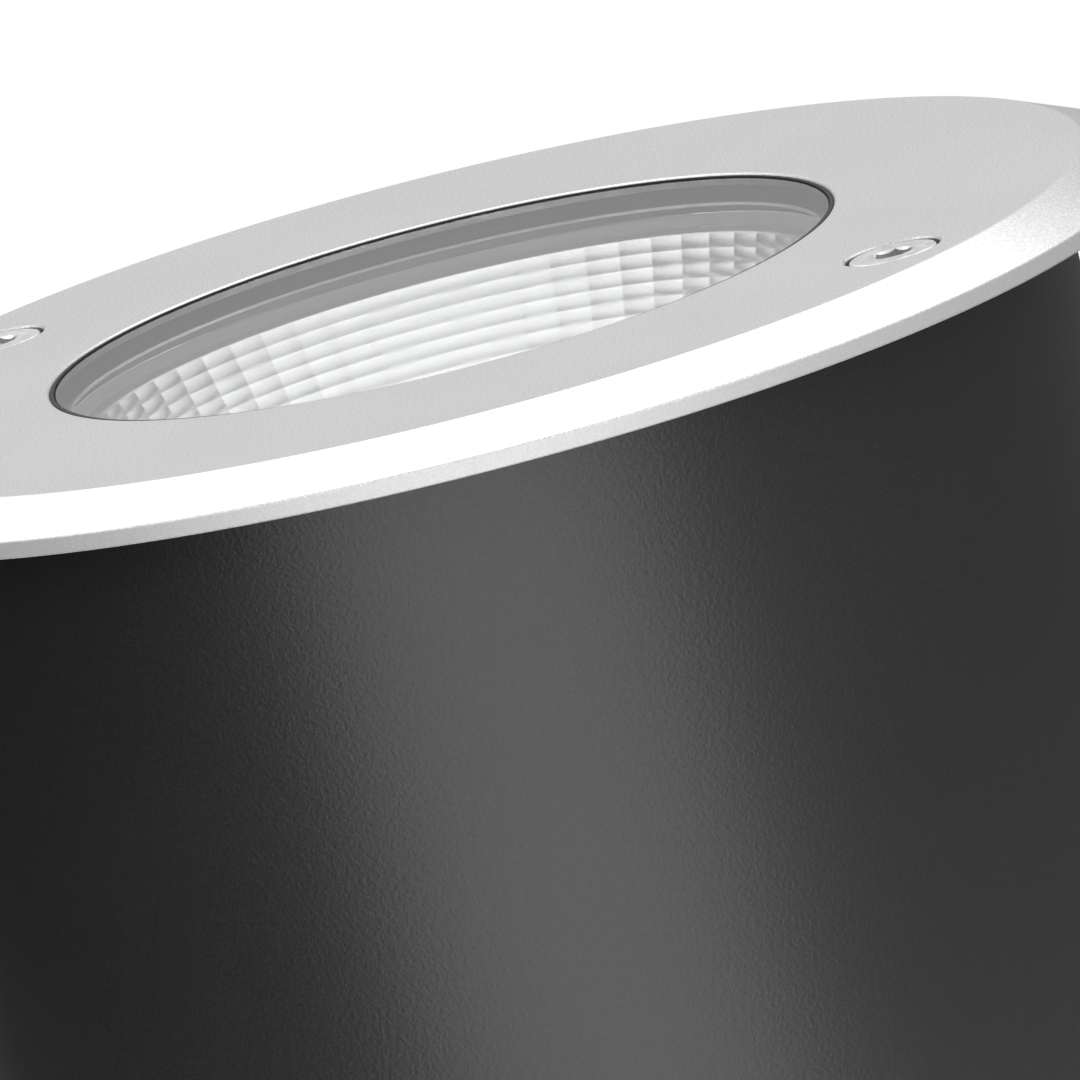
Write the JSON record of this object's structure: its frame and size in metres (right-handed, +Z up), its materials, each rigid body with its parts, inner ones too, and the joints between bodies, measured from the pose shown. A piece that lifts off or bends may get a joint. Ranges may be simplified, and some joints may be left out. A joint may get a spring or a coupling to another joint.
{
  "type": "in-ground well light",
  "caption": "Round recessed ground light: cylindrical housing, bevelled steel trim ring with flush glass, faceted reflector and cable gland.",
  "frame": {"origin": "centre of the housing's base, on the surface it stands on", "axes": "+Z up through the middle of the glass; the two trim screws lie on the X axis; the cable leaves towards +Y"},
  "size_m": [0.16, 0.16, 0.15],
  "materials": {
    "trim_steel": "fine bead-blasted stainless steel",
    "screw_steel": "plain stainless steel",
    "zinc_steel": "zinc-plated steel",
    "clear_glass": "clear toughened glass",
    "black_rubber": "matte black silicone",
    "clamp_aluminium": "black anodised",
    "housing_coat": "die-cast aluminium with a fine-textured dark grey powder coat",
    "brass_insert": "turned brass",
    "gland_plastic": "moulded black polyamide",
    "reflector_mirror": "bright anodised, faceted",
    "bright_aluminium": "plain machined aluminium",
    "pad_rubber": "grey thermal pad",
    "board_ceramic": "white board",
    "phosphor": "yellow phosphor gel",
    "holder_plastic": "moulded white",
    "driver_plastic": "moulded pale grey",
    "bracket_steel": "galvanised sheet",
    "terminal_plastic": "moulded cream",
    "lead_sheath": "insulated wire"
  },
  "bodies": {
    "housing": {"housing": "housing_coat", "threaded_inserts": "brass_insert", "gland_body": "gland_plastic", "gland_washer": "black_rubber", "gland_locknut": "gland_plastic", "gland_insert": "black_rubber", "reflector": "reflector_mirror", "reflector_standoffs": "bright_aluminium", "reflector_screws": "zinc_steel", "thermal_pad": "pad_rubber", "led_board": "board_ceramic", "led_emitter": "phosphor", "led_holder": "holder_plastic", "led_holder_screws": "zinc_steel", "heat_spreader": "bright_aluminium", "spreader_screws": "zinc_steel", "wire_grommet": "black_rubber", "driver_case": "driver_plastic", "driver_bracket": "bracket_steel", "bracket_screws": "zinc_steel", "terminal_block": "terminal_plastic", "terminal_screws": "zinc_steel", "led_leads": "lead_sheath", "driver_leads": "lead_sheath"},
    "cover": {"trim_ring": "trim_steel", "glass": "clear_glass", "glass_seal": "black_rubber", "glass_lower_seal": "black_rubber", "clamp_ring": "clamp_aluminium", "clamp_screws": "zinc_steel", "cover_o_ring": "black_rubber"},
    "screw_right": {"trim_screw_right": "screw_steel", "screw_retainer_right": "zinc_steel"},
    "screw_left": {"trim_screw_left": "screw_steel", "screw_retainer_left": "zinc_steel"},
    "gland_nut": {"gland_dome_nut": "gland_plastic"}
  },
  "joints": [
    {"name": "cover_lift", "type": "slide", "parent": "housing", "child": "cover", "axis": [0, 0, 1], "range_m": [0, 0.05]},
    {"name": "screw_right_turn", "type": "hinge", "parent": "cover", "child": "screw_right", "pos_m": [0.0637, 0, 0.1455], "axis": [0, 0, 1], "continuous": true},
    {"name": "screw_left_turn", "type": "hinge", "parent": "cover", "child": "screw_left", "pos_m": [-0.0637, 0, 0.1455], "axis": [0, 0, 1], "continuous": true},
    {"name": "gland_nut_turn", "type": "hinge", "parent": "housing", "child": "gland_nut", "pos_m": [0, 0.0555, 0.021], "axis": [0, 1, 0], "continuous": true}
  ]
}
